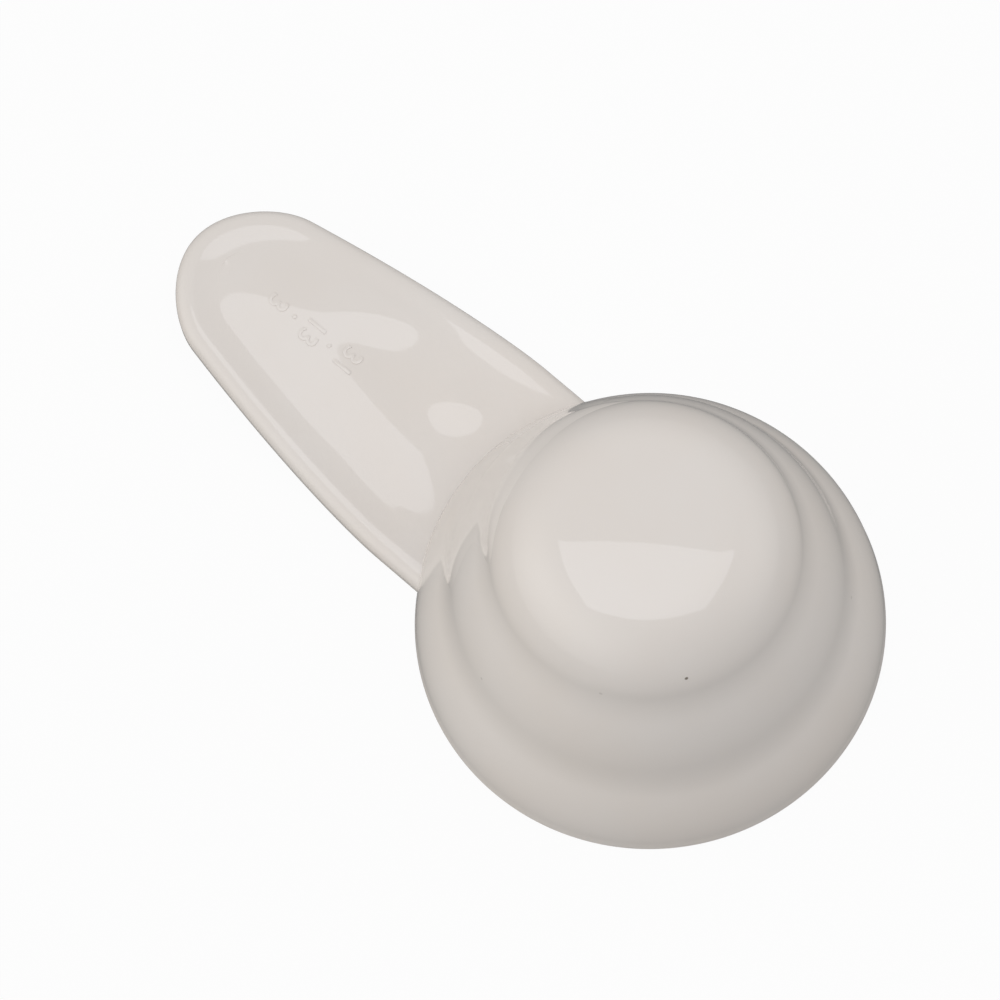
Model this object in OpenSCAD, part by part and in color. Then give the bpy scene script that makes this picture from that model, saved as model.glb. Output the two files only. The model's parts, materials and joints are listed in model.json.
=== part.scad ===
// Coffee measuring spoon, lying mouth down on its rim as it rests on a table.
// The real spoon is one plastic moulding. It is divided here along its own feature lines:
// the lip, the two measuring tiers, the domed crown, the web that carries the handle,
// the handle's panel and the rounded border, with its shallow cove, round that panel.
// The bowl's axis is Z, the mouth lies at Z = 0 and the handle runs along -X.

/* [Bowl] */
// Outer diameter of the lip round the mouth
mouth_d = 50; // [44:0.5:60]
// Height of the lip round the mouth
lip_h = 1.2; // [0.9:0.1:2]
// How far the lip stands proud of the wall
lip_proud = 0.2; // [0.1:0.05:0.4]
// Rounding of the lip's lower outer edge
lip_round = 0.1; // [0.05:0.05:0.2]
// Wall thickness of the bowl
wall = 1.6; // [1:0.1:2.2]
// Height of the mouth tier, from the mouth to the groove above it
mouth_tier_h = 13.9; // [11:0.1:18]
// Outer diameter in the groove above the mouth tier
mouth_groove_d = 40.6; // [38:0.1:43]
// Height of the middle tier, from one groove to the next
middle_tier_h = 10.85; // [8:0.05:15]
// Outer diameter in the groove above the middle tier
middle_groove_d = 31.7; // [28:0.1:35]
// Height of the domed crown above its groove
crown_h = 7.35; // [6:0.05:10]
// Diameter at which the crown's rounded shoulder turns into its dome
dome_d = 17; // [14:0.5:20]
// Rise of the dome above its own edge
dome_rise = 0.6; // [0.4:0.05:1.2]

/* [Tier waves] */
// Lean of the wall from upright just above the lip, in degrees
mouth_lean = 6; // [3:0.5:10]
// Lean of the wall from upright in a groove, in degrees
groove_lean = 14; // [8:0.5:18]
// Lean of the wall from upright on a tier's shoulder, in degrees
shoulder_lean = 30; // [24:0.5:36]
// Share of a tier's height at which its wall leans most
shoulder_share = 0.62; // [0.5:0.01:0.7]

/* [Root web] */
// How far the web stands proud of the wall at its foot and on a tier's shoulder
web_cover = 0.36; // [0.2:0.01:0.5]
// How far the web fills the groove above the mouth tier
mouth_fill = 0.58; // [0.4:0.01:0.8]
// How far the web fills the groove above the middle tier
middle_fill = 0.7; // [0.4:0.01:0.9]
// How far the web's own axis lies from the bowl's axis, towards the handle
web_shift = 2; // [1.5:0.1:4]
// How much flatter than the crown the web lies where it runs out, in degrees
web_tuck = 4.4; // [2:0.2:8]

/* [Handle] */
// Length of the handle beyond the lip
handle_l = 40.25; // [30:0.25:60]
// Width of the handle at its root
root_w = 27.6; // [24:0.1:32]
// Width of the handle where its round end starts
tip_w = 19.3; // [15:0.1:23]
// Length of the round end
round_l = 8.3; // [6:0.1:11]
// How far beyond the lip the handle starts to taper
taper_gap = 2; // [0:0.1:6]
// Power of the taper, 1 for a straight side and more for a fuller one
taper_power = 1.5; // [1:0.1:2.5]
// How far the handle rises from the mouth's plane towards its tip, in degrees
handle_lift = 3.4; // [1:0.1:6]
// Height of the border above the handle's flat back
border_h = 2.6; // [2.2:0.1:4]
// Width of the border with its cove, from the outline to the panel
border_w = 4.6; // [3.6:0.1:5.6]
// Rounding of the border's outer edge
border_round = 1.1; // [0.6:0.1:1.4]
// Depth of the shallow cove between the border's crest and the panel's edge
cove_drop = 0.2; // [0.15:0.05:0.5]
// How far the panel's face swells above its edge in the middle
panel_crown = 0.2; // [0.1:0.05:0.4]

/* [Hidden] */
$fn = 128;

// Colours of the plastic, a little apart so that the regions can be told from each other
PLASTIC = [0.86, 0.84, 0.81];
PLASTIC_SHADE = [0.82, 0.80, 0.77];

// Steps along each curve of the bowl's profile and round each small rounding
curve_steps = 7;
round_steps = 4;

// Stations along the handle's side and round its end, and divisions across half of its panel
side_stations = 22;
end_stations = 16;
panel_steps = 7;

mouth_r = mouth_d / 2;
wall_r = mouth_r - lip_proud;
bowl_h = mouth_tier_h + middle_tier_h + crown_h;

// Knots of the bowl's outer profile: radius, height, lean from upright
lip_knot = [wall_r, lip_h, mouth_lean];
mouth_groove = [mouth_groove_d / 2, mouth_tier_h, groove_lean];
middle_groove = [middle_groove_d / 2, mouth_tier_h + middle_tier_h, groove_lean];
dome_lean = 90 - 2 * atan(dome_rise / (dome_d / 2));
dome_edge = [dome_d / 2, bowl_h - dome_rise, dome_lean];
apex = [0, bowl_h, 90];

mouth_tier_knots = [lip_knot, shoulder(lip_knot, mouth_groove), mouth_groove];
middle_tier_knots = [mouth_groove, shoulder(mouth_groove, middle_groove), middle_groove];
crown_knots = [middle_groove, dome_edge, apex];

// Knots of the web, from its foot on the lip to where it runs out, half way round the crown's shoulder
web_top = curve_at(middle_groove, dome_edge, 0.5);
web_top_lean = curve_lean(middle_groove, dome_edge, 0.5) + web_tuck;
web_knots = [
    proud(lip_knot, web_cover),
    proud(mouth_tier_knots[1], web_cover),
    proud(mouth_groove, mouth_fill),
    proud(middle_tier_knots[1], web_cover),
    proud(middle_groove, middle_fill),
    [web_top[0], web_top[1], web_top_lean]
];

// Distances along the handle, measured from the bowl's axis
reach = mouth_r + handle_l;
round_s = reach - round_l;
taper_s = mouth_r + taper_gap;
hidden_s = mouth_r / 2;

// Where the handle's sides leave the lip, and how far its back has risen at a distance from there on
root_s = sqrt(pow(mouth_r, 2) - pow(root_w / 2, 2));
function lift(s) = tan(handle_lift) * max(0, s - root_s);
collar_h = border_h + lift(mouth_r);

// Where a tier's wall leans most, on the straight line between its two ends
function shoulder(a, b) = [
    a[0] + (b[0] - a[0]) * shoulder_share,
    a[1] + (b[1] - a[1]) * shoulder_share,
    shoulder_lean
];

// Knot moved outward by a distance
function proud(k, d) = [k[0] + d, k[1], k[2]];

// Upward direction of the wall at a knot
function wall_dir(k) = [-sin(k[2]), cos(k[2])];

// Point at share u of the cubic curve from knot a to knot b
function curve_at(a, b, u) =
    let (
        p = [a[0], a[1]],
        q = [b[0], b[1]],
        chord = norm(q - p),
        h = u * u * (3 - 2 * u)
    )
    p * (1 - h) + q * h
    + chord * (u * (1 - u) * (1 - u) * wall_dir(a) - u * u * (1 - u) * wall_dir(b));

// Lean from upright of that curve at share u
function curve_lean(a, b, u) =
    let (
        rise = [b[0], b[1]] - [a[0], a[1]],
        run = 6 * u * (1 - u) * rise
            + norm(rise) * ((1 - u) * (1 - 3 * u) * wall_dir(a) - u * (2 - 3 * u) * wall_dir(b))
    )
    atan2(-run[0], run[1]);

// Points of the smooth curve through a list of knots
function curve(knots) = concat(
    [[knots[0][0], knots[0][1]]],
    [
        for (i = [0:len(knots) - 2], j = [1:curve_steps])
            curve_at(knots[i], knots[i + 1], j / curve_steps)
    ]
);

// Knot on the bowl's inner face, one wall thickness behind an outer knot
function inset(k) = [k[0] - wall * cos(k[2]), k[1] - wall * sin(k[2]), k[2]];

function reversed(list) = [for (i = [len(list) - 1:-1:0]) list[i]];

// Points of an arc about a centre
function arc(centre, r, from, to) = [
    for (i = [0:round_steps])
        let (a = from + (to - from) * i / round_steps)
            centre + r * [cos(a), sin(a)]
];

// Roundings of the lip's outer side, below and above
lip_foot = arc([mouth_r - lip_round, lip_round], lip_round, -90, 0);
lip_top = arc([wall_r, lip_h - lip_proud], lip_proud, 0, 90);

// Shell of revolution between an outer curve and the inner face behind it
module shell(knots) {
    inner = [for (k = knots) inset(k)];
    rotate_extrude()
        polygon(concat(curve(knots), reversed(curve(inner))));
}

// The whole bowl as a filled body with a square lip, which the web ends against
module bowl_body() {
    rotate_extrude()
        polygon(concat(
            [[0, 0], [mouth_r, 0], [mouth_r, lip_h]],
            curve(mouth_tier_knots),
            curve(middle_tier_knots),
            curve(crown_knots)
        ));
}

// The web as a filled body about its own shifted axis
module web_body() {
    side = [for (p = curve(web_knots)) [p[0] - web_shift, p[1]]];
    translate([-web_shift, 0, 0])
        rotate_extrude()
            polygon(concat([[0, lip_h]], side, [[0, web_top[1]]]));
}

// The web's foot: a collar flush with the lip, which the handle ends against
module web_collar() {
    slope = lip_proud + web_cover;
    rotate_extrude()
        polygon([
            [0, lip_h],
            [mouth_r, lip_h],
            [mouth_r, collar_h],
            [mouth_r - slope, collar_h + slope],
            [0, collar_h + slope]
        ]);
}

// The handle's side of the bowl, as wide as the handle's root
module root_side() {
    translate([-mouth_r, -root_w / 2, 0])
        cube([mouth_r, root_w, bowl_h]);
}

// Half width of the handle's tapering sides, and of the whole outline with its round end
function side_w(s) =
    let (u = max(0, s - taper_s) / (round_s - taper_s))
    root_w / 2 - (root_w - tip_w) / 2 * pow(u, taper_power);
function end_share(s) = max(0, s - round_s) / round_l;
function outline_w(s) = side_w(s) * sqrt(max(0, 1 - pow(end_share(s), 2)));

// Stations along the handle, from inside the bowl to half a step short of the tip,
// where one short facet joins the two sides
stations = concat(
    [for (i = [0:side_stations - 1]) hidden_s + (round_s - hidden_s) * i / side_stations],
    [for (i = [0:end_stations]) round_s + round_l * sin(90 * i / (end_stations + 0.5))]
);
last = len(stations) - 1;

// Point of the outline at a station, on the side given by 1 or -1
function outline(i, side) = [stations[i], side * outline_w(stations[i])];

// Inward direction, square to the outline at a station
function inward(i, side) =
    let (
        a = outline(max(i - 1, 0), side),
        b = i == last ? outline(last, -side) : outline(i + 1, side),
        along = (b - a) / norm(b - a)
    )
    side * [along[1], -along[0]];

// Outline moved inward by a distance
function inner_point(i, side, d) = outline(i, side) + d * inward(i, side);

// The stations taken once round the handle, from one root corner over the tip to the other
around = concat(
    [for (i = [0:last]) [i, 1]],
    [for (i = [last:-1:0]) [i, -1]]
);

// Height of the panel's edge, at the foot of the border's cove
panel_z = border_h - cove_drop;

// Cross-section of the border: distance inward from the outline, height
border_section = concat(
    [[0, 0]],
    [
        for (i = [0:round_steps * 2])
            let (a = 90 * i / (round_steps * 2))
                [border_round * (1 - cos(a)), border_h - border_round * (1 - sin(a))]
    ],
    [
        for (i = [1:round_steps])
            let (u = i / round_steps)
                [border_round + (border_w - border_round) * u, panel_z + cove_drop * pow(1 - u, 2)]
    ],
    [[border_w, 0]]
);

// Puts a point given along the handle, across it and up from its back into the spoon's own axes
function place(s, t, z) = [-s, -t, z + lift(s)];

// Closed body swept from one list of rings, each ring a closed loop of points
module swept(rings) {
    n = len(rings[0]);
    m = len(rings);
    points = [for (ring = rings) each ring];
    sides = [
        for (i = [0:m - 2], j = [0:n - 1])
            let (
                a = i * n + j,
                b = i * n + (j + 1) % n,
                c = (i + 1) * n + (j + 1) % n,
                d = (i + 1) * n + j
            )
                each [[a, b, c], [a, c, d]]
    ];
    ends = [[for (j = [n - 1:-1:0]) j], [for (j = [0:n - 1]) (m - 1) * n + j]];
    polyhedron(points, concat(sides, ends));
}

// Height of the panel's face at a station, at share v of its half width
function panel_face(i, v) =
    panel_z + panel_crown * (1 - v * v) * (1 - pow(end_share(stations[i]), 2));

// One ring of the panel: its swelling face from side to side, then its flat back
function panel_ring(i) =
    let (edge = inner_point(i, 1, border_w))
    concat(
        [
            for (j = [-panel_steps:panel_steps])
                let (v = j / panel_steps)
                    place(edge[0], v * edge[1], panel_face(i, v))
        ],
        [place(edge[0], edge[1], 0), place(edge[0], -edge[1], 0)]
    );

// Leaves only what stands outside the lip and the collar above it
module outside_lip() {
    difference() {
        children();
        translate([0, 0, -lip_h])
            cylinder(r = mouth_r, h = collar_h + 2 * lip_h);
    }
}

module mouth_lip() {
    inner = inset(lip_knot);
    foot = [inner[0] + inner[1] * tan(mouth_lean), 0];
    color(PLASTIC_SHADE)
        rotate_extrude()
            polygon(concat([[inner[0], inner[1]], foot], lip_foot, lip_top));
}

module mouth_tier() {
    color(PLASTIC)
        shell(mouth_tier_knots);
}

module middle_tier() {
    color(PLASTIC_SHADE)
        shell(middle_tier_knots);
}

module bowl_crown() {
    color(PLASTIC)
        shell(crown_knots);
}

module root_web() {
    color(PLASTIC_SHADE)
        difference() {
            intersection() {
                union() {
                    web_body();
                    web_collar();
                }
                root_side();
            }
            bowl_body();
        }
}

module handle_panel() {
    color(PLASTIC)
        outside_lip()
            swept([for (i = [0:last]) panel_ring(i)]);
}

module handle_border() {
    color(PLASTIC_SHADE)
        outside_lip()
            swept([
                for (k = around)
                    [
                        for (p = border_section)
                            let (q = inner_point(k[0], k[1], p[0]))
                                place(q[0], q[1], p[1])
                    ]
            ]);
}

mouth_lip();
mouth_tier();
middle_tier();
bowl_crown();
root_web();
handle_panel();
handle_border();
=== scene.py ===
"""Coffee measuring spoon of glossy ivory plastic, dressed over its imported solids.

The spoon lies mouth down. The bowl's axis is Z, the mouth is at Z = 0 and the handle runs along -X.
The real spoon is one moulding, so its pieces share their seams, their shading and one plastic.
"""

import json
import math

import bmesh
import bpy
import numpy as np
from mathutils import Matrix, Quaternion, Vector

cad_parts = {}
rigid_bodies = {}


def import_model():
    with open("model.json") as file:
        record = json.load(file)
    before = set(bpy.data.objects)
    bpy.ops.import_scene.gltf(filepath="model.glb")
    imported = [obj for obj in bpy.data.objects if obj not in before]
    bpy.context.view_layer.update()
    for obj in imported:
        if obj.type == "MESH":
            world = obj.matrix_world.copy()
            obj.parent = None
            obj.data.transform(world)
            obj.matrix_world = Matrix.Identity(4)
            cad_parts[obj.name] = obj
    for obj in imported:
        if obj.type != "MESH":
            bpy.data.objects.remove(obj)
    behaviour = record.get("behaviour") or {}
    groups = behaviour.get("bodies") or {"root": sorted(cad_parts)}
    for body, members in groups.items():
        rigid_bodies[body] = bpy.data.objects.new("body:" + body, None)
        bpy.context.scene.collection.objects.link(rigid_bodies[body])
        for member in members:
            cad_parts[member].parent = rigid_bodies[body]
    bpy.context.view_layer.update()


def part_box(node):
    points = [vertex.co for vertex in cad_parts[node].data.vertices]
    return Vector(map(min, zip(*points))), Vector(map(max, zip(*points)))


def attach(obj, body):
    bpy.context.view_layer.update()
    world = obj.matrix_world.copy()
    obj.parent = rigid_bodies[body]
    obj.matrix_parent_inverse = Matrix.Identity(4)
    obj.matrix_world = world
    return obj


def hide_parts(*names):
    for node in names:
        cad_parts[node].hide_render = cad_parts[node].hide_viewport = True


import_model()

bl_info = {
    "name": "Coffee measuring spoon",
    "version": (1, 0, 0),
    "blender": (4, 5, 0),
    "location": "3D View > Sidebar > Spoon",
    "description": "Builds a stepped coffee measuring spoon and the studio it is seen in",
    "category": "Object",
}

LIP_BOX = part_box("mouth_lip")
MOUTH_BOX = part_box("mouth_tier")
MIDDLE_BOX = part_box("middle_tier")
CROWN_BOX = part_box("bowl_crown")
BORDER_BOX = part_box("handle_border")

BODY = "root"
MM = 0.001
# Points closer than this count as one: in a tier's tree, in a piece and on a seam between pieces
TIER_WELD, PIECE_WELD, SEAM_WELD = 1e-3 * MM, 1e-4 * MM, 2e-3 * MM


def width(box):
    """Width of a node's box across the handle."""
    return box[1].y - box[0].y


def length(name, description, default):
    """Property for a length in metres."""
    return bpy.props.FloatProperty(
        name=name, description=description, default=default, min=0.0, precision=5, unit="LENGTH"
    )


def angle(name, description, degrees):
    """Property for an angle, given here in degrees."""
    return bpy.props.FloatProperty(
        name=name, description=description, default=math.radians(degrees), subtype="ANGLE"
    )


def share(name, description, default, top=1.0):
    """Property for a plain number from nought to the top."""
    return bpy.props.FloatProperty(
        name=name, description=description, default=default, min=0.0, max=top, subtype="FACTOR"
    )


def colour(name, description, default):
    """Property for a linear colour."""
    return bpy.props.FloatVectorProperty(
        name=name, description=description, default=default, size=3, min=0.0, max=1.0,
        subtype="COLOR",
    )


def spot(name, description, default):
    """Property for a point in metres."""
    return bpy.props.FloatVectorProperty(
        name=name, description=description, default=default, size=3,
        subtype="TRANSLATION", unit="LENGTH",
    )


class BowlSizes(bpy.types.PropertyGroup):
    """Sizes of the stepped bowl and of the web that carries the handle"""

    mouth_d: length("Mouth", "Outer diameter of the lip", width(LIP_BOX))
    lip_h: length("Lip height", "Height of the lip round the mouth", LIP_BOX[1].z)
    lip_proud: length("Lip proud", "How far the lip stands out from the wall", 0.2 * MM)
    lip_round: length("Lip rounding", "Rounding of the lip's lower edge", 0.1 * MM)
    wall: length("Wall", "Wall thickness of the bowl", 1.6 * MM)
    mouth_groove_z: length(
        "First groove", "Height of the groove above the mouth tier", MOUTH_BOX[1].z
    )
    mouth_groove_d: length("First groove across", "Diameter in the first groove", width(MIDDLE_BOX))
    middle_groove_z: length(
        "Second groove", "Height of the groove above the middle tier", MIDDLE_BOX[1].z
    )
    middle_groove_d: length(
        "Second groove across", "Diameter in the second groove", width(CROWN_BOX)
    )
    top_z: length("Height", "Height of the dome's top", CROWN_BOX[1].z)
    dome_d: length("Dome", "Diameter at which the shoulder turns into the dome", 17 * MM)
    dome_rise: length("Dome rise", "Rise of the dome above its edge", 0.6 * MM)
    mouth_lean: angle("Mouth lean", "Lean of the wall just above the lip", 6)
    groove_lean: angle("Groove lean", "Lean of the wall in a groove", 14)
    shoulder_lean: angle("Shoulder lean", "Lean of the wall on a tier's shoulder", 30)
    shoulder_share: share("Shoulder place", "Share of a tier's height where it leans most", 0.62)
    web_cover: length("Web cover", "How far the web stands proud of a tier", 0.36 * MM)
    mouth_fill: length("First fill", "How far the web fills the first groove", 0.58 * MM)
    middle_fill: length("Second fill", "How far the web fills the second groove", 0.7 * MM)
    web_shift: length("Web shift", "How far the web's axis lies towards the handle", 2 * MM)
    web_top: share("Web top", "Share of the crown's wall where the web ends", 0.36)
    web_hold: angle("Web hold", "Turn from the handle up to which the web is smooth", 16)
    web_fade: angle("Web fade", "Turn from the handle beyond which it follows the bowl's steps", 36)
    web_tuck: angle("Web tuck", "How much flatter than the crown the web runs out", 4.4)


class HandleSizes(bpy.types.PropertyGroup):
    """Sizes of the handle's panel and border"""

    reach: length("Reach", "From the bowl's axis to the handle's tip", -BORDER_BOX[0].x)
    root_w: length("Root width", "Width of the handle at its root", width(BORDER_BOX))
    tip_w: length("Tip width", "Width where the round end starts", 19.3 * MM)
    round_l: length("Round end", "Length of the round end", 8.3 * MM)
    taper_s: length("Taper start", "Distance from the bowl's axis where the taper starts", 27 * MM)
    taper_power: share("Taper power", "One for a straight side, more for a fuller one", 1.5, 3.0)
    lift: angle("Lift", "How much the handle rises towards its tip", 3.4)
    border_h: length("Border height", "Height of the border above the handle's back", 2.6 * MM)
    border_w: length("Border width", "From the outline to the panel", 4.6 * MM)
    border_round: length(
        "Border rounding", "Height of the rounding of the border's outer edge", 1.5 * MM
    )
    border_crest: length("Border crest", "From the outline to the border's crest", 2.05 * MM)
    foot_round: length("Foot rounding", "Rounding of the border's lower edge", 0.3 * MM)
    cove_drop: length("Cove drop", "How far the border falls to the panel's edge", 0.22 * MM)
    warp: length("Warp", "How much deeper the cove lies along one side", 0.3 * MM)
    panel_crown: length("Panel crown", "How far the panel's face swells in the middle", 0.135 * MM)
    left_power: share("Left fall", "Power of the panel's fall to its left edge", 1.35, 4.0)
    right_power: share("Right fall", "Power of the panel's fall to its right edge", 1.83, 4.0)
    numeral_h: length("Numeral height", "Height of a raised numeral", 2.3 * MM)
    numeral_proud: length("Numeral relief", "How far the numerals stand out", 0.08 * MM)


class PlasticFinish(bpy.types.PropertyGroup):
    """Colours and gloss of the plastic"""

    ivory: colour("Ivory", "Colour of the plastic", (0.768, 0.726, 0.686))
    warm: colour("Warm ivory", "Colour of its slightly warmer patches", (0.758, 0.708, 0.660))
    speck: colour("Speck", "Colour of the few dark specks in it", (0.16, 0.13, 0.10))
    roughness: share("Roughness", "Roughness of the moulded face", 0.03)


class StudioSizes(bpy.types.PropertyGroup):
    """Camera, floor and light of the studio"""

    camera_place: spot("Camera", "Place of the camera", (0.10410, -0.10689, 0.47766))
    camera_aim: spot("Aim", "Point that the camera looks at", (-0.02107, -0.00021, 0.0))
    camera_roll: angle("Roll", "Roll of the camera about its own axis", 8.52)
    lens: bpy.props.FloatProperty(
        name="Lens", description="Focal length on a 36 mm sensor, in millimetres", default=169.56,
        unit="CAMERA",
    )
    floor: colour("Floor", "Colour of the floor", (0.62, 0.62, 0.62))
    floor_white: share("Floor white", "Share of the floor's look that is plain white", 0.95)
    floor_gloss: share("Floor in the gloss", "Strength of that white in a gloss or in glass", 0.18)
    sky: share("Sky", "Strength of the light from all round", 0.223, 2.0)
    overhead: share("Overhead", "Strength of the light from straight above", 0.36, 2.0)
    side_height: angle("Side height", "Height of the side lights above the floor", 28)
    cool: colour("Sky colour", "Colour of the light from all round and above", (0.92, 0.942, 1.0))
    warm: colour("Side colour", "Colour of the side lights", (1.0, 0.965, 0.90))
    softbox_place: spot("Softbox", "Place of the softbox", (0.084, 0.0, 1.2))
    softbox_l: length("Softbox length", "Length of the softbox", 1.176)
    softbox_w: length("Softbox width", "Width of the softbox", 0.698)
    softbox_turn: angle("Softbox turn", "Turn of the softbox about the upright", 35.6)
    softbox_power: bpy.props.FloatProperty(
        name="Softbox power", description="Power of the softbox", default=3.95, unit="POWER"
    )


class Wire:
    """One socket of a node tree. Arithmetic on it adds Math nodes to that tree."""

    def __init__(self, tree, socket):
        self.tree, self.socket = tree, socket

    @classmethod
    def add(cls, tree, kind, settings=None, sockets=None, out=0):
        """Adds a node: its settings first, then the values or wires of its sockets."""
        node = tree.nodes.new(kind)
        for name, value in (settings or {}).items():
            setattr(node, name, value)
        for key, value in (sockets or {}).items():
            if isinstance(value, Wire):
                tree.links.new(value.socket, node.inputs[key])
            else:
                node.inputs[key].default_value = value
        return cls(tree, node.outputs[out]) if node.outputs else None

    def other(self, out):
        """Another output of the same node."""
        return Wire(self.tree, self.socket.node.outputs[out])

    def math(self, operation, *others):
        """Math node with this wire first."""
        return self.add(
            self.tree, "ShaderNodeMath", {"operation": operation}, dict(enumerate((self, *others)))
        )

    def turned(self, operation, first):
        """Math node with this wire second."""
        return self.add(self.tree, "ShaderNodeMath", {"operation": operation}, {0: first, 1: self})

    def __add__(self, other):
        return self.math("ADD", other)

    def __sub__(self, other):
        return self.math("SUBTRACT", other)

    def __mul__(self, other):
        return self.math("MULTIPLY", other)

    def __truediv__(self, other):
        return self.math("DIVIDE", other)

    def __gt__(self, other):
        return self.math("GREATER_THAN", other)

    def __rsub__(self, other):
        return self.turned("SUBTRACT", other)

    def __rtruediv__(self, other):
        return self.turned("DIVIDE", other)

    __radd__ = __add__
    __rmul__ = __mul__


def cleared_tree(owner):
    """The emptied node tree of a material or a world."""
    owner.use_nodes = True
    owner.node_tree.nodes.clear()
    return owner.node_tree


def tier_tree():
    """Node tree of a bowl tier, a shell of revolution.

    Its outer face runs through three knots, each a radius, a height and a lean.
    """
    tree = bpy.data.node_groups.new("Bowl tier", "GeometryNodeTree")
    tree.is_modifier = True
    for name, kind in (
        ("Foot", "Vector"), ("Middle", "Vector"), ("Top", "Vector"), ("Wall", "Float"),
        ("Steps", "Int"), ("Segments", "Int"), ("Plastic", "Material"),
    ):
        tree.interface.new_socket(name, in_out="INPUT", socket_type="NodeSocket" + kind)
    tree.interface.new_socket("Tier", in_out="OUTPUT", socket_type="NodeSocketGeometry")

    def node(kind, settings=None, sockets=None, out=0):
        return Wire.add(tree, kind, settings, sockets, out)

    given = node("NodeGroupInput")
    steps, segments = given.other("Steps"), given.other("Segments")

    # The grid's X runs round the section: up the outer face, over the top edge, down the inner face
    loop = steps * 4 + 2
    grid = node("GeometryNodeMeshGrid", None, {
        "Size X": 1.0, "Size Y": 1.0, "Vertices X": loop + 1, "Vertices Y": segments + 1,
    })
    place = node("ShaderNodeSeparateXYZ", None, {0: node("GeometryNodeInputPosition")})
    index = (place + 0.5) * loop
    along = index.math("MINIMUM", loop - 1 - index).math("MAXIMUM", 0.0) / steps
    along = along.math("MINIMUM", 2.0)
    depth = given.other("Wall") * ((index > steps * 2 + 0.5) - (index > steps * 4 + 1.5))
    upper = along > 1.0
    u = along - upper
    turn = (place.other("Y") + 0.5) * (2 * math.pi)

    def knot_behind(low, high):
        """Radius and height behind the outer face by the depth, and sine and cosine of the lean."""
        # A Mix node's vector sockets share their names with others, so they go by number
        chosen = node("ShaderNodeMix", {"data_type": "VECTOR"}, {
            0: upper, 4: given.other(low), 5: given.other(high),
        }, 1)
        radius = node("ShaderNodeSeparateXYZ", None, {0: chosen})
        sine, cosine = radius.other("Z").math("SINE"), radius.other("Z").math("COSINE")
        return radius - depth * cosine, radius.other("Y") - depth * sine, sine, cosine

    r0, z0, sin0, cos0 = knot_behind("Foot", "Middle")
    r1, z1, sin1, cos1 = knot_behind("Middle", "Top")
    chord = ((r1 - r0) * (r1 - r0) + (z1 - z0) * (z1 - z0)).math("SQRT")
    ease = u * u * (3 - u * 2)
    leave = chord * u * (1 - u) * (1 - u)
    arrive = chord * u * u * (1 - u)
    radius = r0 + (r1 - r0) * ease - leave * sin0 + arrive * sin1
    height = z0 + (z1 - z0) * ease + leave * cos0 - arrive * cos1
    point = node("ShaderNodeCombineXYZ", None, {
        0: radius * turn.math("COSINE"), 1: radius * turn.math("SINE"), 2: height,
    })
    shaped = node("GeometryNodeSetPosition", None, {"Geometry": grid, "Position": point})
    closed = node("GeometryNodeMergeByDistance", None, {
        "Geometry": shaped, "Distance": TIER_WELD,
    })
    real = node("GeometryNodeRealizeInstances", None, {0: closed})
    coated = node("GeometryNodeSetMaterial", None, {
        "Geometry": real, "Material": given.other("Plastic"),
    })
    node("NodeGroupOutput", None, {"Tier": coated})
    return tree


def new_object(name, data):
    """Object for a mesh, text, lamp or camera, linked to the scene."""
    made = bpy.data.objects.new(name, data)
    bpy.context.scene.collection.objects.link(made)
    return made


def grown(name, tree, values):
    """Plain mesh object grown by a node tree from the values of its named inputs."""
    made = new_object(name, bpy.data.meshes.new(name))
    modifier = made.modifiers.new(tree.name, "NODES")
    modifier.node_group = tree
    for socket in tree.interface.items_tree:
        if socket.in_out == "INPUT":
            modifier[socket.identifier] = values[socket.name]
    made.update_tag()
    depsgraph = bpy.context.evaluated_depsgraph_get()
    mesh = bpy.data.meshes.new_from_object(made.evaluated_get(depsgraph))
    made.modifiers.remove(modifier)
    made.data = mesh
    mesh.name = name
    return made


def from_rings(name, rings, joined):
    """Object skinned over closed rings of points, joined end to end or capped at both ends."""
    build = bmesh.new()
    rows = [[build.verts.new(p) for p in ring] for ring in rings]
    count = len(rows[0])
    pairs = list(zip(rows, rows[1:])) + ([(rows[-1], rows[0])] if joined else [])
    for a, b in pairs:
        for j in range(count):
            k = (j + 1) % count
            build.faces.new((a[j], a[k], b[k], b[j]))
    if not joined:
        build.faces.new(rows[0])
        build.faces.new(rows[-1])
    mesh = bpy.data.meshes.new(name)
    build.to_mesh(mesh)
    build.free()
    return new_object(name, mesh)


def finish_piece(piece, node=None):
    """Close the piece, turn its faces outwards, give it the plastic and set it on the frame."""
    build = bmesh.new()
    build.from_mesh(piece.data)
    bmesh.ops.remove_doubles(build, verts=build.verts, dist=PIECE_WELD)
    bmesh.ops.delete(build, geom=[e for e in build.edges if not e.link_faces], context="EDGES")
    bmesh.ops.delete(build, geom=[v for v in build.verts if not v.link_faces], context="VERTS")
    bmesh.ops.recalc_face_normals(build, faces=build.faces)
    for face in build.faces:
        face.smooth = True
    build.to_mesh(piece.data)
    build.free()
    if not piece.data.polygons:
        raise RuntimeError(piece.name + " has no faces")
    piece.data.materials.clear()
    piece.data.materials.append(ivory_plastic())
    if node:
        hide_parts(node)
    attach(piece, BODY)


def attribute(items, name, size=1, kind=float):
    """One attribute of a mesh's vertices, corners or faces, in rows where its size is over one."""
    values = np.empty(len(items) * size, kind)
    items.foreach_get(name, values)
    return values.reshape(-1, size) if size > 1 else values


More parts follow.
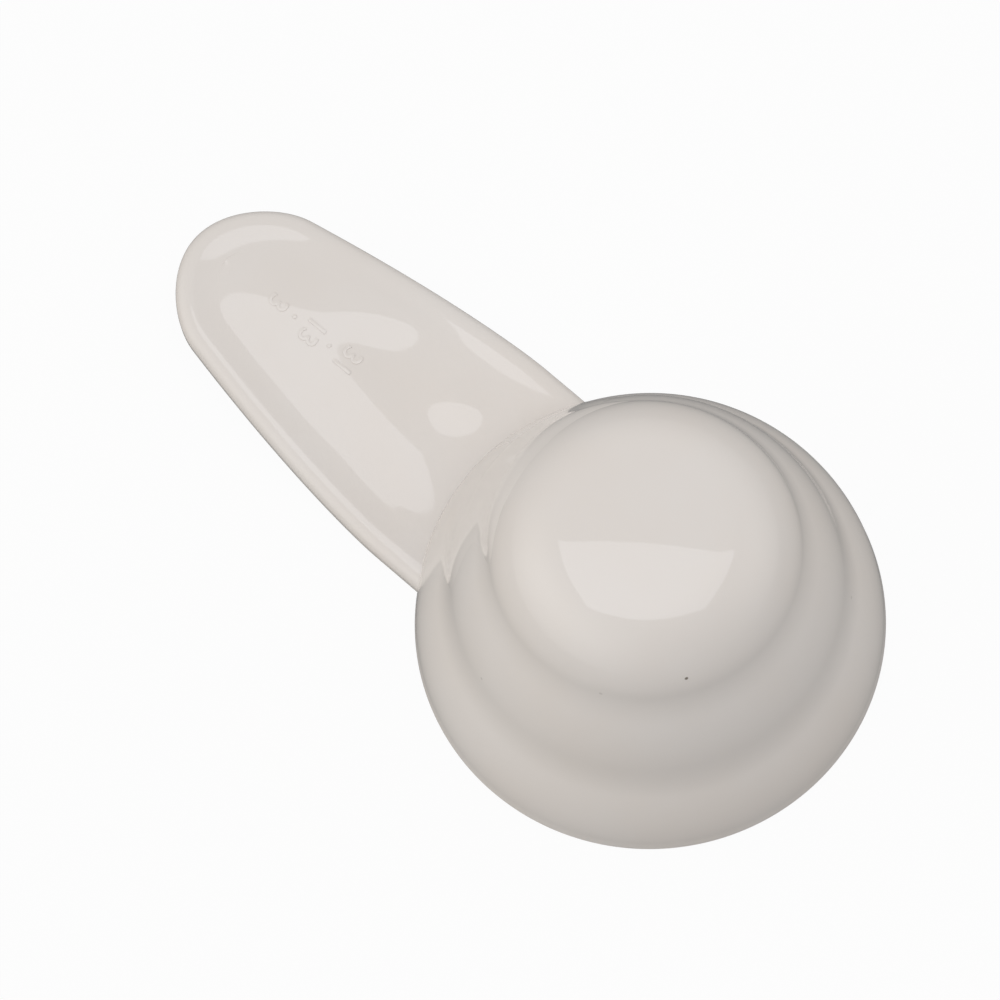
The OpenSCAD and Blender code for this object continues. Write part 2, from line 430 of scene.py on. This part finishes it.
def share_normals(pieces, limit):
    """Shade the touching pieces of the moulding as one skin.

    An edge stays only where the skin turns by more than the limit.
    """
    points, normals, weights, counts = [], [], [], []
    for piece in pieces:
        mesh = piece.data
        corner = attribute(mesh.loops, "vertex_index", kind=np.int32)
        sides = attribute(mesh.polygons, "loop_total", kind=np.int32)
        points.append(attribute(mesh.vertices, "co", 3)[corner])
        normals.append(np.repeat(attribute(mesh.polygons, "normal", 3), sides, axis=0))
        weights.append(np.repeat(attribute(mesh.polygons, "area"), sides))
        counts.append(len(corner))
    points, normals, weights = map(np.concatenate, (points, normals, weights))
    keys = np.round(points / SEAM_WELD).astype(np.int64)
    _, group = np.unique(keys, axis=0, return_inverse=True)
    order = np.argsort(group.ravel(), kind="stable")
    group, normals, weights = group.ravel()[order], normals[order], weights[order]
    total = normals * weights[:, None]
    # Corners at one point now lie together, so each meets the next one, the one after it and so on
    left = np.arange(len(group))
    step = 1
    while len(left):
        left = left[left + step < len(group)]
        left = left[group[left] == group[left + step]]
        near = np.einsum("ij,ij->i", normals[left], normals[left + step]) > math.cos(limit)
        a, b = left[near], left[near] + step
        np.add.at(total, a, normals[b] * weights[b, None])
        np.add.at(total, b, normals[a] * weights[a, None])
        step += 1
    size = np.linalg.norm(total, axis=1, keepdims=True)
    shared = np.empty_like(total)
    shared[order] = np.where(size > 0, total / np.maximum(size, np.finfo(float).tiny), normals)
    start = 0
    for piece, count in zip(pieces, counts):
        piece.data.normals_split_custom_set(shared[start:start + count].tolist())
        start += count


# Dark specks moulded into the plastic: place, radius and how dark
SPECKS = (
    ((0.01257, -0.00817, 0.02681), 0.17 * MM, 0.9),
    ((-0.00584, -0.01922, 0.01467), 0.16 * MM, 0.25),
    ((0.00660, -0.01447, 0.02452), 0.18 * MM, 0.2),
    ((0.01661, 0.01305, 0.01102), 0.16 * MM, 0.2),
)
# Fineness of the noise in the plastic's colour, in its swelling skin and in its grain
CLOUD_SCALE, SWELL_SCALE, GRAIN_SCALE = 70.0, 110.0, 1800.0
# Height of that noise at which a warmer cloud starts and at which it is full
CLOUD_START, CLOUD_FULL = 0.35, 0.7
# How much the roughness varies with the clouds and with the grain
CLOUD_ROUGHNESS, GRAIN_ROUGHNESS = 0.01, 0.012
SWELL_DEPTH, GRAIN_DEPTH = 0.01 * MM, 0.0002 * MM
# How much the grain frays a speck's edge, and how much of its radius the edge is soft
SPECK_FRAY, SPECK_BLUR = 0.8, 0.3
PLASTIC_IOR = 1.48


def ivory_plastic():
    """Glossy ivory plastic: a faintly uneven colour, a few dark specks and a moulded skin."""
    if "moulded_ivory" in bpy.data.materials:
        return bpy.data.materials["moulded_ivory"]
    finish = bpy.context.scene.spoon_plastic
    material = bpy.data.materials.new("moulded_ivory")
    tree = cleared_tree(material)

    def node(kind, settings=None, sockets=None, out=0):
        return Wire.add(tree, kind, settings, sockets, out)

    place = node("ShaderNodeTexCoord", None, None, "Object")

    def noise(scale, detail):
        return node("ShaderNodeTexNoise", None, {
            "Vector": place, "Scale": scale, "Detail": detail, "Roughness": 0.5,
        })

    def mixed(factor, first, second):
        """Mix of two colours, whose sockets go by number."""
        return node("ShaderNodeMix", {"data_type": "RGBA"}, {0: factor, 6: first, 7: second}, 2)

    cloud = node("ShaderNodeMapRange", {"clamp": True}, {
        0: noise(CLOUD_SCALE, 3.0), 1: CLOUD_START, 2: CLOUD_FULL, 3: 0.0, 4: 1.0,
    })
    coloured = mixed(cloud, (*finish.ivory, 1.0), (*finish.warm, 1.0))
    grain = noise(GRAIN_SCALE, 2.0)
    frayed = (1 - SPECK_FRAY / 2) + grain * SPECK_FRAY
    for point, radius, depth in SPECKS:
        away = node("ShaderNodeVectorMath", {"operation": "DISTANCE"}, {
            0: place, 1: point,
        }, "Value")
        dark = node("ShaderNodeMapRange", {"clamp": True}, {
            0: away * frayed, 1: radius * (1 + SPECK_BLUR), 2: radius * (1 - SPECK_BLUR),
            3: 0.0, 4: depth,
        })
        coloured = mixed(dark, coloured, (*finish.speck, 1.0))
    uneven = (grain - 0.5) * GRAIN_ROUGHNESS + (cloud - 0.5) * CLOUD_ROUGHNESS
    roughness = finish.roughness + uneven
    swell = noise(SWELL_SCALE, 1.0) * SWELL_DEPTH + grain * GRAIN_DEPTH
    skin = node("ShaderNodeBump", None, {"Strength": 1.0, "Distance": 1.0, "Height": swell})
    shader = node("ShaderNodeBsdfPrincipled", None, {
        "Base Color": coloured, "Roughness": roughness, "Normal": skin, "IOR": PLASTIC_IOR,
    })
    node("ShaderNodeOutputMaterial", None, {"Surface": shader})
    return material


def knot(radius, height, lean):
    """Point of a wall's section, with the wall's lean there from the upright."""
    return np.array([radius, height, lean])


def shoulder(a, b, sizes):
    """Where a tier's wall leans most, on the straight line between its two ends."""
    at = a + (b - a) * sizes.shoulder_share
    return knot(at[0], at[1], sizes.shoulder_lean)


def bowl_knots(sizes):
    """The three knots of each tier's outer face, from the mouth up."""
    lip = knot(sizes.mouth_d / 2 - sizes.lip_proud, sizes.lip_h, sizes.mouth_lean)
    first = knot(sizes.mouth_groove_d / 2, sizes.mouth_groove_z, sizes.groove_lean)
    second = knot(sizes.middle_groove_d / 2, sizes.middle_groove_z, sizes.groove_lean)
    dome_r = sizes.dome_d / 2
    dome_lean = math.pi / 2 - 2 * math.atan(sizes.dome_rise / dome_r)
    dome = knot(dome_r, sizes.top_z - sizes.dome_rise, dome_lean)
    apex = knot(0.0, sizes.top_z, math.pi / 2)
    return (
        (lip, shoulder(lip, first, sizes), first),
        (first, shoulder(first, second, sizes), second),
        (second, dome, apex),
    )


def curve_at(a, b, u):
    """Point at share u of the curve from knot a to knot b, and its direction."""
    rise = b[:2] - a[:2]
    chord = np.linalg.norm(rise)
    leave = np.array([-math.sin(a[2]), math.cos(a[2])])
    arrive = np.array([-math.sin(b[2]), math.cos(b[2])])
    ease = u * u * (3 - 2 * u)
    point = a[:2] + rise * ease + chord * (u * (1 - u) ** 2 * leave - u * u * (1 - u) * arrive)
    run = 6 * u * (1 - u) * rise + chord * (
        (1 - u) * (1 - 3 * u) * leave - u * (2 - 3 * u) * arrive
    )
    return point, run


def curve(knots, steps):
    """Points of the smooth curve through a list of knots."""
    points = [knots[0][:2]]
    for a, b in zip(knots, knots[1:]):
        points += [curve_at(a, b, j / steps)[0] for j in range(1, steps + 1)]
    return np.array(points)


def bridged(points):
    """The same rising curve with straight bridges over its hollows."""
    kept = []
    for point in points:
        while len(kept) > 1:
            last, onward = kept[-1] - kept[-2], point - kept[-1]
            if last[0] * onward[1] > onward[0] * last[1]:
                break
            kept.pop()
        kept.append(point)
    return np.array(kept)


def eased(x):
    """Share from nought to one with a soft start and end."""
    x = np.clip(x, 0.0, 1.0)
    return x * x * (3 - 2 * x)


def arc(centre, radius, start, end, steps):
    """Points of an arc between two angles in degrees."""
    turns = np.radians(np.linspace(start, end, steps + 1))
    return [(centre[0] + radius * math.cos(a), centre[1] + radius * math.sin(a)) for a in turns]


# Steps of a wall's section from knot to knot, and round the bowl
TIER_STEPS = 18
TURN_SEGMENTS = 560


class SPOON_OT_tiers(bpy.types.Operator):
    """Grow the two measuring tiers and the crown of the bowl"""

    bl_idname = "spoon.tiers"
    bl_label = "Bowl tiers"

    def execute(self, context):
        sizes = context.scene.spoon_bowl
        tree = tier_tree()
        tiers = zip(("mouth_tier", "middle_tier", "bowl_crown"), bowl_knots(sizes))
        for node, (foot, middle, top) in tiers:
            piece = grown("spoon_" + node, tree, {
                "Foot": tuple(foot), "Middle": tuple(middle), "Top": tuple(top),
                "Wall": sizes.wall, "Steps": TIER_STEPS, "Segments": TURN_SEGMENTS,
                "Plastic": ivory_plastic(),
            })
            finish_piece(piece, node)
        return {"FINISHED"}


class SPOON_OT_lip(bpy.types.Operator):
    """Turn the rounded lip round the mouth"""

    bl_idname = "spoon.lip"
    bl_label = "Mouth lip"

    INNER_STEPS, OUTER_STEPS, FLARE_STEPS = 5, 6, 4
    # How far into the lower rounding the inner face ends, as a share of it
    INNER_TUCK = 0.1

    def execute(self, context):
        sizes = context.scene.spoon_bowl
        mouth_r = sizes.mouth_d / 2
        wall_r = mouth_r - sizes.lip_proud
        inner = (
            wall_r - sizes.wall * math.cos(sizes.mouth_lean),
            sizes.lip_h - sizes.wall * math.sin(sizes.mouth_lean),
        )
        edge = sizes.lip_round
        foot_r = inner[0] + inner[1] * math.tan(sizes.mouth_lean)
        profile = [inner, (foot_r + edge * self.INNER_TUCK, edge)]
        profile += arc((foot_r + edge, edge), edge, 180, 270, self.INNER_STEPS)[1:]
        profile += arc((mouth_r - edge, edge), edge, -90, 0, self.OUTER_STEPS)
        profile += [
            (wall_r + sizes.lip_proud * (1 - u), edge + (sizes.lip_h - edge) * u)
            for u in np.linspace(0, 1, self.FLARE_STEPS + 1)[1:]
        ]
        turns = np.linspace(0, 2 * math.pi, TURN_SEGMENTS, endpoint=False)
        rings = [[(r * math.cos(a), r * math.sin(a), z) for r, z in profile] for a in turns]
        finish_piece(from_rings("spoon_mouth_lip", rings, True), "mouth_lip")
        return {"FINISHED"}


class SPOON_OT_web(bpy.types.Operator):
    """Lay the web that carries the handle over the steps of the bowl"""

    bl_idname = "spoon.web"
    bl_label = "Root web"

    # Levels up the web, turns across it and levels from one point of its back to the next
    LEVELS, TURNS, BACK_STEP = 241, 289, 16
    # Turn from the handle, in degrees, to each end of the web
    END_TURN = 54
    # How far the web's thin ends and its back lie inside the bowl's wall
    END_SINK, BACK_SINK = 0.25 * MM, 0.7 * MM
    # How far the collar draws back at the handle's corners, and where that starts and how long it
    # takes, as shares of the way to the corner
    DRAW_BACK, DRAW_START, DRAW_LENGTH = 1.2 * MM, 0.78, 0.2

    def levels(self, sizes):
        """Radii of the bowl, the stepped web and the smooth web, and the height, level by level."""
        mouth, middle, crown = bowl_knots(sizes)
        top, run = curve_at(crown[0], crown[1], sizes.web_top)
        top_lean = math.atan2(-run[0], run[1]) + sizes.web_tuck
        cover = sizes.web_cover
        proud = (cover, cover, sizes.mouth_fill, cover, sizes.middle_fill)
        knots = [knot(k[0] + d, k[1], k[2]) for k, d in zip((*mouth, *middle[1:]), proud)]
        web = curve([*knots, knot(top[0], top[1], top_lean)], TIER_STEPS)
        walls = [curve(tier, TIER_STEPS) for tier in (mouth, middle, crown[:2])]
        bowl = np.concatenate([walls[0], walls[1][1:], walls[2][1:]])
        lines = (bowl, web, bridged(web))
        heights = np.linspace(sizes.lip_h, top[1], self.LEVELS)
        return [[np.interp(z, line[:, 1], line[:, 0]) for line in lines] + [z] for z in heights]

    def execute(self, context):
        sizes, handle = context.scene.spoon_bowl, context.scene.spoon_handle
        levels = self.levels(sizes)
        inner = [(bowl - self.BACK_SINK, z) for bowl, _, _, z in levels[::-self.BACK_STEP]]
        mouth_r, shift = sizes.mouth_d / 2, sizes.web_shift
        # The collar is the fillet at the web's foot, where the handle's face runs up into it
        collar_in = sizes.lip_proud + sizes.web_cover
        collar_top = handle.border_h + HandleForm(handle, sizes).rise(mouth_r) + collar_in
        collar_foot = collar_top - collar_in - handle.cove_drop
        corner_turn = math.asin(handle.root_w / sizes.mouth_d)
        rings = []
        for turn in np.radians(np.linspace(-self.END_TURN, self.END_TURN, self.TURNS)):
            full = 1 - eased((abs(turn) - sizes.web_hold) / (sizes.web_fade - sizes.web_hold))
            near_corner = eased((abs(turn) / corner_turn - self.DRAW_START) / self.DRAW_LENGTH)
            draw_back = self.DRAW_BACK * near_corner
            outer = []
            for bowl, stepped, smooth, z in levels:
                own = stepped + full * (smooth - stepped) - shift
                across = shift * math.sin(turn)
                reach = shift * math.cos(turn) + math.sqrt(own ** 2 - across ** 2)
                if z < collar_top and abs(turn) < corner_turn:
                    fall = min(1.0, (collar_top - z) / (collar_top - collar_foot))
                    fillet = collar_in * (1 - math.sqrt(1 - fall ** 2))
                    reach = max(reach, mouth_r - collar_in + fillet - draw_back)
                outer.append((max(reach, bowl - self.END_SINK), z))
            rings.append([(-r * math.cos(turn), -r * math.sin(turn), z) for r, z in outer + inner])
        finish_piece(from_rings("spoon_root_web", rings, False), "root_web")
        return {"FINISHED"}


class HandleForm:
    """The handle's outline and faces, in distances along it (s), across it (t) and up (z)."""

    # Steps along a side, round the end and over half the panel
    SIDE_STEPS, END_STEPS, ACROSS = 130, 56, 36
    # Steps of the border's section: round its foot, up to its crest and down to the panel
    FOOT_STEPS, CREST_STEPS, COVE_STEPS = 4, 14, 18
    # Distance along the handle up to which its rows bend into the bowl's round wall
    BLEND_S = 31 * MM
    # Start and length of the stretch where the level root turns into the dished face
    DISH_S, DISH_L = 20 * MM, 10 * MM
    # Start and length of the stretch where the warp grows, its share before that, the distance
    # across at which it is full, and the share of it that the tip loses
    WARP_S, WARP_L, WARP_ROOT, WARP_T, WARP_LOSS = 30 * MM, 26 * MM, 0.35, 8 * MM, 0.75
    # Start and length of the stretch that turns into the tip
    TIP_S, TIP_L = 48 * MM, 12 * MM
    # Power of the cove's fall, and how much less it is at the tip
    COVE_POWER, TIP_EASE = 2, 0.35
    # Soft swells of the panel's face: along, across, height, length, width and turn
    SWELLS = (
        (31.0 * MM, -4.5 * MM, 0.30 * MM, 1.8 * MM, 1.6 * MM, 0.41),
        (46.7 * MM, -5.2 * MM, 0.32 * MM, 5.7 * MM, 2.5 * MM, 0.60),
        (40.0 * MM, 1.45 * MM, 0.20 * MM, 9.0 * MM, 2.2 * MM, -0.21),
    )

    def __init__(self, sizes, bowl):
        self.sizes = sizes
        self.round_s = sizes.reach - sizes.round_l
        self.hold_r = bowl.mouth_d / 2 - bowl.lip_proud - bowl.wall / 2
        self.start_s = math.sqrt(self.hold_r ** 2 - (sizes.root_w / 2) ** 2)
        self.lift_s = math.sqrt((bowl.mouth_d / 2) ** 2 - (sizes.root_w / 2) ** 2)
        side = np.linspace(self.start_s, self.round_s, self.SIDE_STEPS, endpoint=False)
        turn = np.arange(self.END_STEPS + 1) / (self.END_STEPS + 0.5) * math.pi / 2
        self.stations = np.concatenate([side, self.round_s + sizes.round_l * np.sin(turn)])
        line = np.stack([self.stations, self.half_w(self.stations)], 1)
        before = np.concatenate([line[:1], line[:-1]])
        after = np.concatenate([line[1:], [line[-1] * (1, -1)]])
        along = (after - before) / np.linalg.norm(after - before, axis=1, keepdims=True)
        self.line = line
        self.inward = np.stack([along[:, 1], -along[:, 0]], 1)

    def half_w(self, s):
        """Half width of the outline at a distance along the handle."""
        sizes = self.sizes
        taper = np.maximum(0, s - sizes.taper_s) / (self.round_s - sizes.taper_s)
        side = sizes.root_w / 2 - (sizes.root_w - sizes.tip_w) / 2 * taper ** sizes.taper_power
        end = np.maximum(0, s - self.round_s) / sizes.round_l
        return side * np.sqrt(np.maximum(0, 1 - end ** 2))

    def rise(self, s):
        """How far the handle's back has risen at a distance along it."""
        return math.tan(self.sizes.lift) * max(0.0, s - self.lift_s)

    def inner_point(self, i, side, d):
        """A station's point of the outline, moved inward and, at the root, into the bowl's wall."""
        s, t = self.line[i] + d * self.inward[i]
        return self.drawn(s, t), side * t

    def drawn(self, s, t):
        """Distance along the handle, with the rows at its root bent into the bowl's round wall."""
        if s >= self.BLEND_S:
            return s
        hold = math.sqrt(max(0.0, self.hold_r ** 2 - t * t))
        return hold + (self.BLEND_S - hold) * (s - self.start_s) / (self.BLEND_S - self.start_s)

    def place(self, s, t, z):
        """Point of the scene, at a height above the handle's back."""
        return (-s, -t, z + self.rise(s))

    def tip_share(self, s):
        """Nought along the handle, one at its tip."""
        return eased((s - self.TIP_S) / self.TIP_L)

    def drop(self, s, t):
        """How far the panel's floor lies below the border's crest."""
        sizes = self.sizes
        grown_share = self.WARP_ROOT + (1 - self.WARP_ROOT) * eased((s - self.WARP_S) / self.WARP_L)
        warp = sizes.warp * grown_share * (1 - self.WARP_LOSS * self.tip_share(s))
        dished = eased((s - self.DISH_S) / self.DISH_L)
        return dished * (sizes.cove_drop + warp * np.clip(t / self.WARP_T, -1, 1))

    def swell(self, s, t):
        """Height of the panel's soft swells."""
        height = 0.0
        for along, across, top, half_l, half_w, turn in self.SWELLS:
            x = (s - along) * math.cos(turn) + (t - across) * math.sin(turn)
            y = (t - across) * math.cos(turn) - (s - along) * math.sin(turn)
            height += top * math.exp(-((x / half_l) ** 2 + (y / half_w) ** 2) / 2)
        return height

    def border_ring(self, i, side):
        """The border's section at a station, from its foot over its crest to the panel."""
        sizes = self.sizes
        foot, edge, crest = sizes.foot_round, sizes.border_round, sizes.border_crest
        section = arc((foot, foot), foot, 270, 180, self.FOOT_STEPS)
        for a in np.radians(np.linspace(0, 90, self.CREST_STEPS + 1)):
            section.append((crest * (1 - math.cos(a)), sizes.border_h - edge * (1 - math.sin(a))))
        ring = [self.place(*self.inner_point(i, side, d), z) for d, z in section]
        power = self.COVE_POWER - self.TIP_EASE * self.tip_share(self.stations[i])
        for u in np.linspace(0, 1, self.COVE_STEPS + 1)[1:]:
            s, t = self.inner_point(i, side, crest + (sizes.border_w - crest) * u)
            fall = self.drop(s, t) * (1 - (1 - u) ** power)
            ring.append(self.place(s, t, sizes.border_h - fall + self.swell(s, t) * eased(u)))
        return ring + [self.place(*self.inner_point(i, side, sizes.border_w), 0.0)]

    def panel_z(self, s, t, v):
        """Height of the panel's face, where v is the share of its half width."""
        sizes = self.sizes
        power = sizes.left_power if v > 0 else sizes.right_power
        crown = sizes.panel_crown * (1 - abs(v) ** power)
        return sizes.border_h - self.drop(s, t) + crown + self.swell(s, t)

    def face_z(self, s, t):
        """Height of the panel's face at a point away from its root."""
        inner = self.line + self.sizes.border_w * self.inward
        return self.panel_z(s, t, np.clip(t / np.interp(s, inner[:, 0], inner[:, 1]), -1, 1))

    def panel_row(self, i):
        """The panel's section at a station: over its face, then back along its flat underside."""
        flat_s, t = self.line[i] + self.sizes.border_w * self.inward[i]
        row = []
        for v in np.linspace(-1, 1, 2 * self.ACROSS + 1):
            s = self.drawn(flat_s, v * t)
            row.append(self.place(s, v * t, self.panel_z(s, v * t, v)))
        s = self.drawn(flat_s, t)
        return row + [self.place(s, t, 0.0), self.place(s, -t, 0.0)]


class SPOON_OT_handle(bpy.types.Operator):
    """Sweep the handle's rounded border and lay the panel inside it"""

    bl_idname = "spoon.handle"
    bl_label = "Handle"

    def execute(self, context):
        form = HandleForm(context.scene.spoon_handle, context.scene.spoon_bowl)
        count = len(form.stations)
        around = [(i, 1) for i in range(count)] + [(i, -1) for i in reversed(range(count))]
        rings = [form.border_ring(i, side) for i, side in around]
        finish_piece(from_rings("spoon_handle_border", rings, False), "handle_border")
        rows = [form.panel_row(i) for i in range(count)]
        finish_piece(from_rings("spoon_handle_panel", rows, False), "handle_panel")
        return {"FINISHED"}


class SPOON_OT_numerals(bpy.types.Operator):
    """Raise plain numbers, the capacity of each step in millilitres, from the handle's panel"""

    bl_idname = "spoon.numerals"
    bl_label = "Numbers"

    # Number or dot, and its distance along the handle
    MARKS = (("31", 43 * MM), (".", 45.6 * MM), ("13", 48 * MM), (".", 50.6 * MM), ("3", 53 * MM))
    # Height of a figure as a share of the text's size
    FIGURE = 0.69
    CURVE_STEPS, BEVEL_STEPS = 6, 2

    def execute(self, context):
        sizes = context.scene.spoon_handle
        form = HandleForm(sizes, context.scene.spoon_bowl)
        build = bmesh.new()
        for text, along in self.MARKS:
            mesh = self.flat_text(text, sizes)
            for vert in mesh.vertices:
                s, t = along - vert.co.y, vert.co.x
                vert.co = form.place(s, t, form.face_z(s, t) + vert.co.z)
            build.from_mesh(mesh)
            bpy.data.meshes.remove(mesh)
        mesh = bpy.data.meshes.new("spoon_numerals")
        build.to_mesh(mesh)
        build.free()
        finish_piece(new_object("spoon_numerals", mesh))
        return {"FINISHED"}

    def flat_text(self, text, sizes):
        """Solid mesh of a text, lying flat with its middle at the origin."""
        data = bpy.data.curves.new("numeral", "FONT")
        data.body = text
        data.size = sizes.numeral_h / self.FIGURE
        data.align_x = "CENTER"
        data.resolution_u = self.CURVE_STEPS
        data.extrude = sizes.numeral_proud / 2
        data.bevel_depth = sizes.numeral_proud / 2
        data.bevel_resolution = self.BEVEL_STEPS
        made = new_object("numeral", data)
        depsgraph = bpy.context.evaluated_depsgraph_get()
        mesh = bpy.data.meshes.new_from_object(made.evaluated_get(depsgraph))
        bpy.data.objects.remove(made)
        bpy.data.curves.remove(data)
        if not mesh.polygons:
            raise RuntimeError("the text " + text + " has no faces")
        y = [v.co.y for v in mesh.vertices]
        middle = (min(y) + max(y)) / 2
        for vert in mesh.vertices:
            vert.co.y -= middle
        return mesh


class SPOON_OT_skin(bpy.types.Operator):
    """Shade the pieces of the moulding as one skin"""

    bl_idname = "spoon.skin"
    bl_label = "Moulded skin"

    MOULDED_PIECES = 7
    EDGE_TURN = math.radians(40)

    def execute(self, context):
        pieces = [
            o for o in context.scene.objects if o.name.startswith("spoon_") and o.type == "MESH"
        ]
        if len(pieces) < self.MOULDED_PIECES:
            raise RuntimeError("the spoon's pieces come before its skin")
        share_normals(pieces, self.EDGE_TURN)
        return {"FINISHED"}


class SPOON_OT_stage(bpy.types.Operator):
    """Set up the floor, the soft light and the camera"""

    bl_idname = "spoon.stage"
    bl_label = "Studio"

    # Turn about the upright, in degrees, and strength of each side light
    SIDE_LIGHTS = ((45, 1.06), (90, 0.48), (135, 0.45), (225, 1.31), (270, 1.02))
    # Powers by which the overhead light and a side light fall off round their middle
    OVERHEAD_FALL, SIDE_FALL = 6.0, 8.0
    # The floor lies a little below the rim, so that the two don't share a plane
    FLOOR_HALF, FLOOR_GAP = 3.0, 0.2 * MM
    SENSOR_W = 36.0
    CLIP_NEAR, CLIP_FAR = 0.01, 20.0

    def execute(self, context):
        scene, studio = context.scene, context.scene.spoon_studio
        mesh = bpy.data.meshes.new("studio_floor")
        half, floor_z = self.FLOOR_HALF, -self.FLOOR_GAP
        corners = [(-half, -half), (half, -half), (half, half), (-half, half)]
        mesh.from_pydata([(x, y, floor_z) for x, y in corners], [], [(0, 1, 2, 3)])
        floor = new_object("studio_floor", mesh)
        mesh.materials.append(self.floor_material(studio))
        self.light_up(scene, studio)
        self.set_camera(scene, studio)
        scene.view_settings.view_transform = "Standard"
        return {"FINISHED"}

    def floor_material(self, studio):
        """Pale floor that reads as white behind the object and keeps its shadow."""
        material = bpy.data.materials.new("studio_floor")
        tree = cleared_tree(material)
        path = Wire.add(tree, "ShaderNodeLightPath", None, None, "Is Camera Ray")
        mirrored = path.other("Is Glossy Ray").math("MAXIMUM", path.other("Is Transmission Ray"))
        plain = Wire.add(tree, "ShaderNodeBsdfDiffuse", None, {"Color": (*studio.floor, 1.0)})
        white = Wire.add(tree, "ShaderNodeEmission", None, {
            "Strength": path + mirrored * studio.floor_gloss,
        })
        seen = path.math("MAXIMUM", mirrored) * studio.floor_white
        both = Wire.add(tree, "ShaderNodeMixShader", None, {0: seen, 1: plain, 2: white})
        Wire.add(tree, "ShaderNodeOutputMaterial", None, {"Surface": both})
        return material

    def light_up(self, scene, studio):
        """Soft light from all round, stronger from the sides, and one softbox overhead."""
        world = bpy.data.worlds.new("studio_light")
        tree = cleared_tree(world)
        facing = Wire.add(tree, "ShaderNodeTexCoord", None, None, "Generated")

        def lobe(turn, height, power):
            """One towards a direction, falling softly to nought a quarter turn away."""
            level = math.cos(height)
            axis = (level * math.cos(turn), level * math.sin(turn), math.sin(height))
            near = Wire.add(tree, "ShaderNodeVectorMath", {"operation": "DOT_PRODUCT"}, {
                0: facing, 1: axis,
            }, "Value")
            return near.math("MAXIMUM", 0.0).math("POWER", power)

        def background(tint, strength):
            return Wire.add(tree, "ShaderNodeBackground", None, {
                "Color": (*tint, 1.0), "Strength": strength,
            })

        sky = studio.sky + studio.overhead * lobe(0.0, math.pi / 2, self.OVERHEAD_FALL)
        sides = sum(
            strength * lobe(math.radians(turn), studio.side_height, self.SIDE_FALL)
            for turn, strength in self.SIDE_LIGHTS
        )
        light = Wire.add(tree, "ShaderNodeAddShader", None, {
            0: background(studio.cool, sky), 1: background(studio.warm, sides),
        })
        seen = Wire.add(tree, "ShaderNodeLightPath", None, None, "Is Camera Ray")
        both = Wire.add(tree, "ShaderNodeMixShader", None, {
            0: seen, 1: light, 2: background((1.0, 1.0, 1.0), 1.0),
        })
        Wire.add(tree, "ShaderNodeOutputWorld", None, {"Surface": both})
        scene.world = world
        lamp = bpy.data.lights.new("softbox", "AREA")
        lamp.shape = "RECTANGLE"
        lamp.size, lamp.size_y = studio.softbox_l, studio.softbox_w
        lamp.energy, lamp.color = studio.softbox_power, studio.cool
        softbox = new_object("softbox", lamp)
        softbox.location = studio.softbox_place
        softbox.rotation_euler = (0.0, 0.0, studio.softbox_turn)

    def set_camera(self, scene, studio):
        """Place the camera where the spoon is seen as in the photograph."""
        data = bpy.data.cameras.new("camera")
        data.lens, data.sensor_width = studio.lens, self.SENSOR_W
        data.clip_start, data.clip_end = self.CLIP_NEAR, self.CLIP_FAR
        camera = new_object("camera", data)
        place = Vector(studio.camera_place)
        look = (Vector(studio.camera_aim) - place).to_track_quat("-Z", "Y")
        camera.location = place
        camera.rotation_mode = "QUATERNION"
        camera.rotation_quaternion = look @ Quaternion((0.0, 0.0, 1.0), -studio.camera_roll)
        scene.camera = camera


OPERATORS = (
    SPOON_OT_tiers,
    SPOON_OT_lip,
    SPOON_OT_web,
    SPOON_OT_handle,
    SPOON_OT_skin,
    SPOON_OT_numerals,
    SPOON_OT_stage,
)
GROUPS = {
    "spoon_bowl": BowlSizes,
    "spoon_handle": HandleSizes,
    "spoon_plastic": PlasticFinish,
    "spoon_studio": StudioSizes,
}


class SPOON_PT_panel(bpy.types.Panel):
    """Sizes of the spoon and the steps that build it"""

    bl_idname = "SPOON_PT_panel"
    bl_label = "Coffee measuring spoon"
    bl_space_type = "VIEW_3D"
    bl_region_type = "UI"
    bl_category = "Spoon"

    def draw(self, context):
        for operator in OPERATORS:
            self.layout.operator(operator.bl_idname)
        for name, group in GROUPS.items():
            box = self.layout.box()
            for prop in group.__annotations__:
                box.prop(getattr(context.scene, name), prop)


def register():
    for cls in (*GROUPS.values(), *OPERATORS, SPOON_PT_panel):
        bpy.utils.register_class(cls)
    for name, group in GROUPS.items():
        setattr(bpy.types.Scene, name, bpy.props.PointerProperty(type=group))


def unregister():
    for name in GROUPS:
        delattr(bpy.types.Scene, name)
    for cls in (SPOON_PT_panel, *reversed(OPERATORS), *GROUPS.values()):
        bpy.utils.unregister_class(cls)


def main():
    register()
    bpy.ops.spoon.tiers()
    bpy.ops.spoon.lip()
    bpy.ops.spoon.web()
    bpy.ops.spoon.handle()
    bpy.ops.spoon.skin()
    bpy.ops.spoon.numerals()
    bpy.ops.spoon.stage()


if __name__ == "__main__":
    main()
